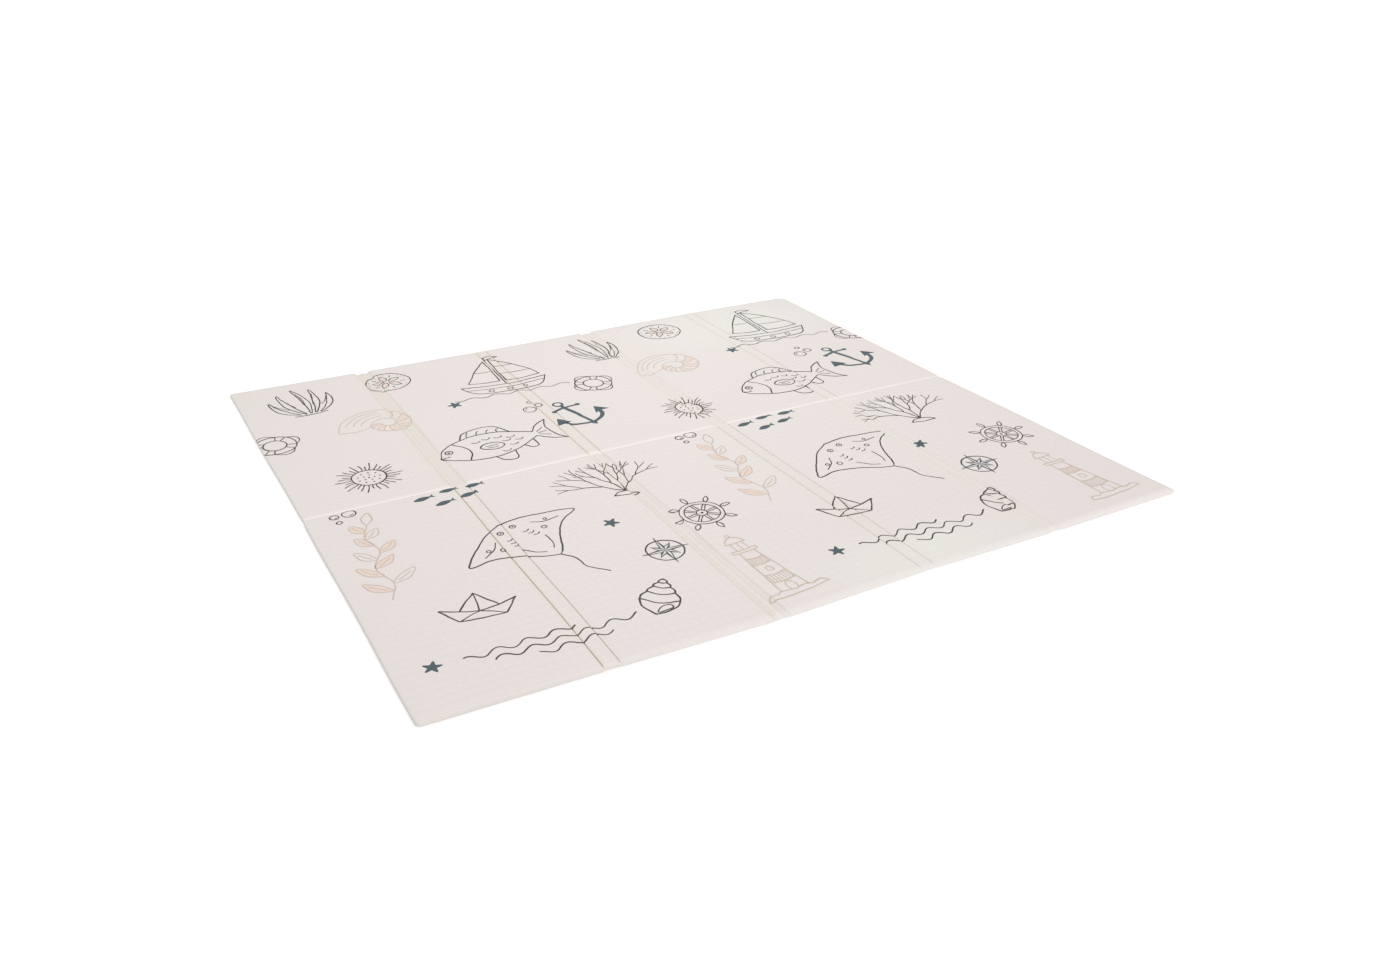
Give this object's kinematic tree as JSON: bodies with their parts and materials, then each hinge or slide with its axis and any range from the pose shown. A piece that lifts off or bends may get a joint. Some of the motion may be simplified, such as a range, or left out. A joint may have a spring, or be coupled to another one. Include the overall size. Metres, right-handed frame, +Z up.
{
  "type": "folding foam baby play mat",
  "caption": "Flat oblong foam play mat with rounded rim and pressed fold lines, laid open on the floor as a soft surface for a baby.",
  "frame": {"origin": "middle of the underside, on the floor", "axes": "+X along the long side, +Y towards the back edge, +Z up out of the playing face"},
  "size_m": [2.0055, 1.821, 0.0104],
  "materials": {
    "printed_film": "satin embossed film over soft closed-cell foam"
  },
  "bodies": {
    "root": {"play_mat": "printed_film"}
  },
  "joints": []
}
